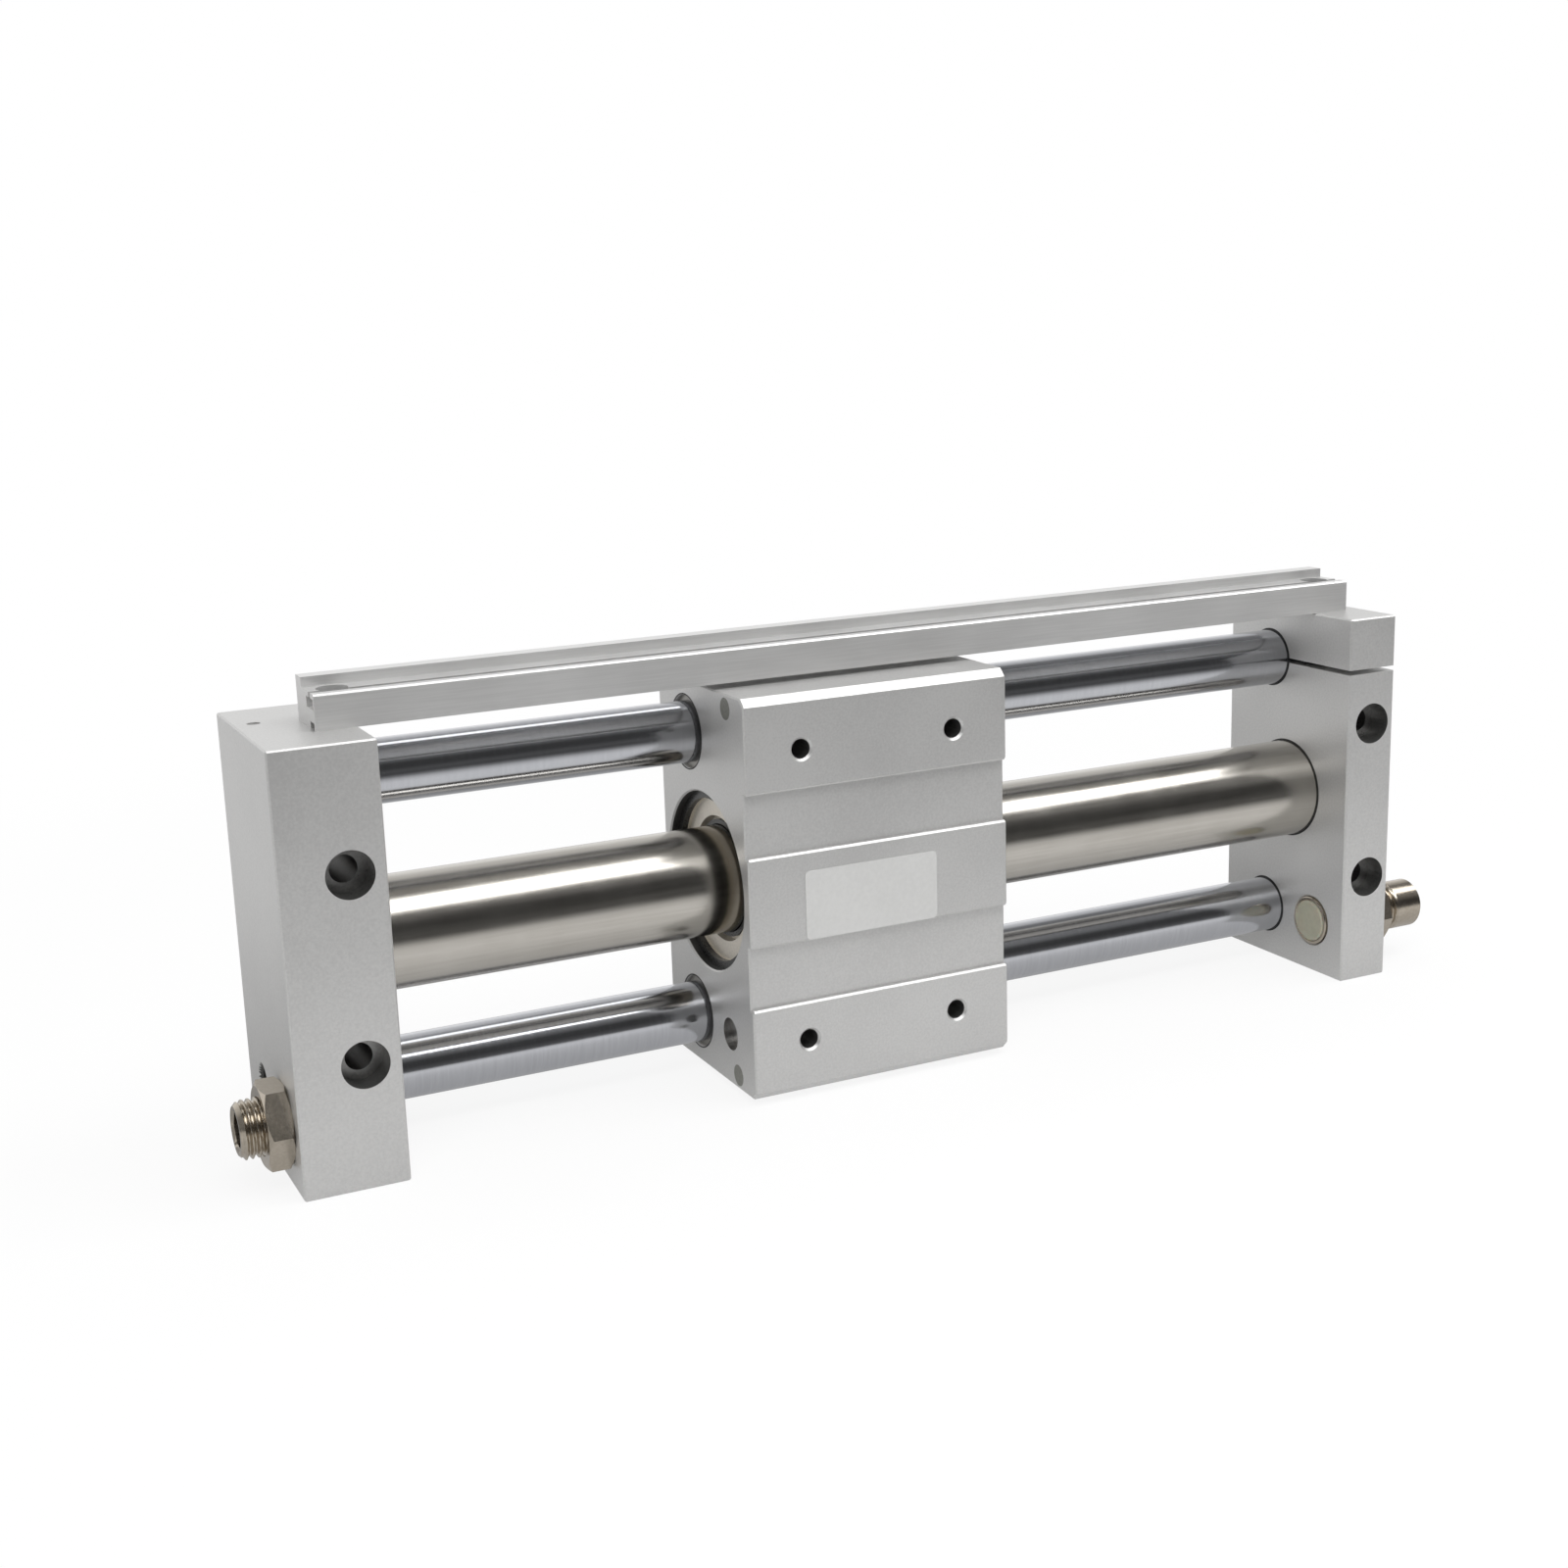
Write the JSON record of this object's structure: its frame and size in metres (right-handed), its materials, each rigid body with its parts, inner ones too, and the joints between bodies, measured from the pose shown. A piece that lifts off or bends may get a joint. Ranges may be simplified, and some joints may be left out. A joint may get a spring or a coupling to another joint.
{
  "type": "rodless pneumatic cylinder",
  "caption": "Magnet-coupled rodless air cylinder: a slide block driven along a tube on twin guide shafts between end plates, with stop bolts and a switch rail.",
  "frame": {"origin": "centre of the four body-bolt holes on the end plates' mounting face", "axes": "+X along the stroke toward the clamp plate, +Y out of the mounting face into the machine, +Z toward the switch rail"},
  "size_m": [0.3492, 0.0533, 0.1163],
  "materials": {
    "anodised_plate": "satin clear anodised, fine grain",
    "anodised_rail": "satin clear anodised, drawn along its length",
    "stainless_tube": "polished stainless",
    "hard_chrome": "ground and hard chromed",
    "nickel_plate": "bright nickel plate",
    "zinc_steel": "zinc plated, warm tint",
    "ring_steel": "plain spring steel",
    "plug_steel": "plain steel",
    "bush_metal": "sintered bearing metal",
    "switch_magnet": "dull olive grey",
    "black_screw": "black oxide",
    "urethane": "cast urethane, pale",
    "nitrile_rubber": "smooth black rubber",
    "bearing_resin": "filled bearing resin",
    "magnet": "coated magnet",
    "yoke_steel": "turned soft iron",
    "piston_aluminium": "turned"
  },
  "bodies": {
    "frame": {"left_end_plate": "anodised_plate", "right_end_plate": "anodised_plate", "cylinder_tube": "stainless_tube", "upper_guide_shaft": "hard_chrome", "lower_guide_shaft": "hard_chrome", "switch_rail": "anodised_rail", "rail_screw": "black_screw", "clamp_screw": "black_screw", "left_stop_bolt": "nickel_plate", "right_stop_bolt": "nickel_plate", "left_stop_nut": "nickel_plate", "right_stop_nut": "nickel_plate", "left_stop_bumper": "urethane", "right_stop_bumper": "urethane", "tube_seals": "nitrile_rubber", "shaft_seals": "nitrile_rubber", "shaft_set_screws": "black_screw", "passage_plugs": "plug_steel"},
    "slider": {"slide_block": "anodised_plate", "switch_magnets": "switch_magnet", "upper_left_bush": "bush_metal", "upper_right_bush": "bush_metal", "lower_left_bush": "bush_metal", "lower_right_bush": "bush_metal", "left_retaining_ring": "ring_steel", "left_end_spacer": "zinc_steel", "left_gland_ring": "ring_steel", "left_scraper": "nitrile_rubber", "left_wear_ring": "bearing_resin", "right_retaining_ring": "ring_steel", "right_end_spacer": "zinc_steel", "right_gland_ring": "ring_steel", "right_scraper": "nitrile_rubber", "right_wear_ring": "bearing_resin", "outer_yoke_1": "yoke_steel", "outer_yoke_2": "yoke_steel", "outer_yoke_3": "yoke_steel", "outer_yoke_4": "yoke_steel", "outer_yoke_5": "yoke_steel", "outer_magnet_1": "magnet", "outer_magnet_2": "magnet", "outer_magnet_3": "magnet", "outer_magnet_4": "magnet"},
    "piston": {"left_piston": "piston_aluminium", "right_piston": "piston_aluminium", "left_piston_seal": "nitrile_rubber", "right_piston_seal": "nitrile_rubber", "left_piston_wear_ring": "bearing_resin", "right_piston_wear_ring": "bearing_resin", "piston_shaft": "ring_steel", "piston_nuts": "ring_steel", "inner_yoke_1": "yoke_steel", "inner_yoke_2": "yoke_steel", "inner_yoke_3": "yoke_steel", "inner_yoke_4": "yoke_steel", "inner_yoke_5": "yoke_steel", "inner_magnet_1": "magnet", "inner_magnet_2": "magnet", "inner_magnet_3": "magnet", "inner_magnet_4": "magnet"}
  },
  "joints": [
    {"name": "slider_travel", "type": "slide", "parent": "frame", "child": "slider", "axis": [1, 0, 0], "range_m": [-0.0878, 0.1122]},
    {"name": "piston_travel", "type": "slide", "parent": "frame", "child": "piston", "axis": [1, 0, 0], "range_m": [-0.0878, 0.1122]}
  ],
  "couplings": [
    {"joint": "piston_travel", "follows": "slider_travel", "ratio": 1}
  ]
}
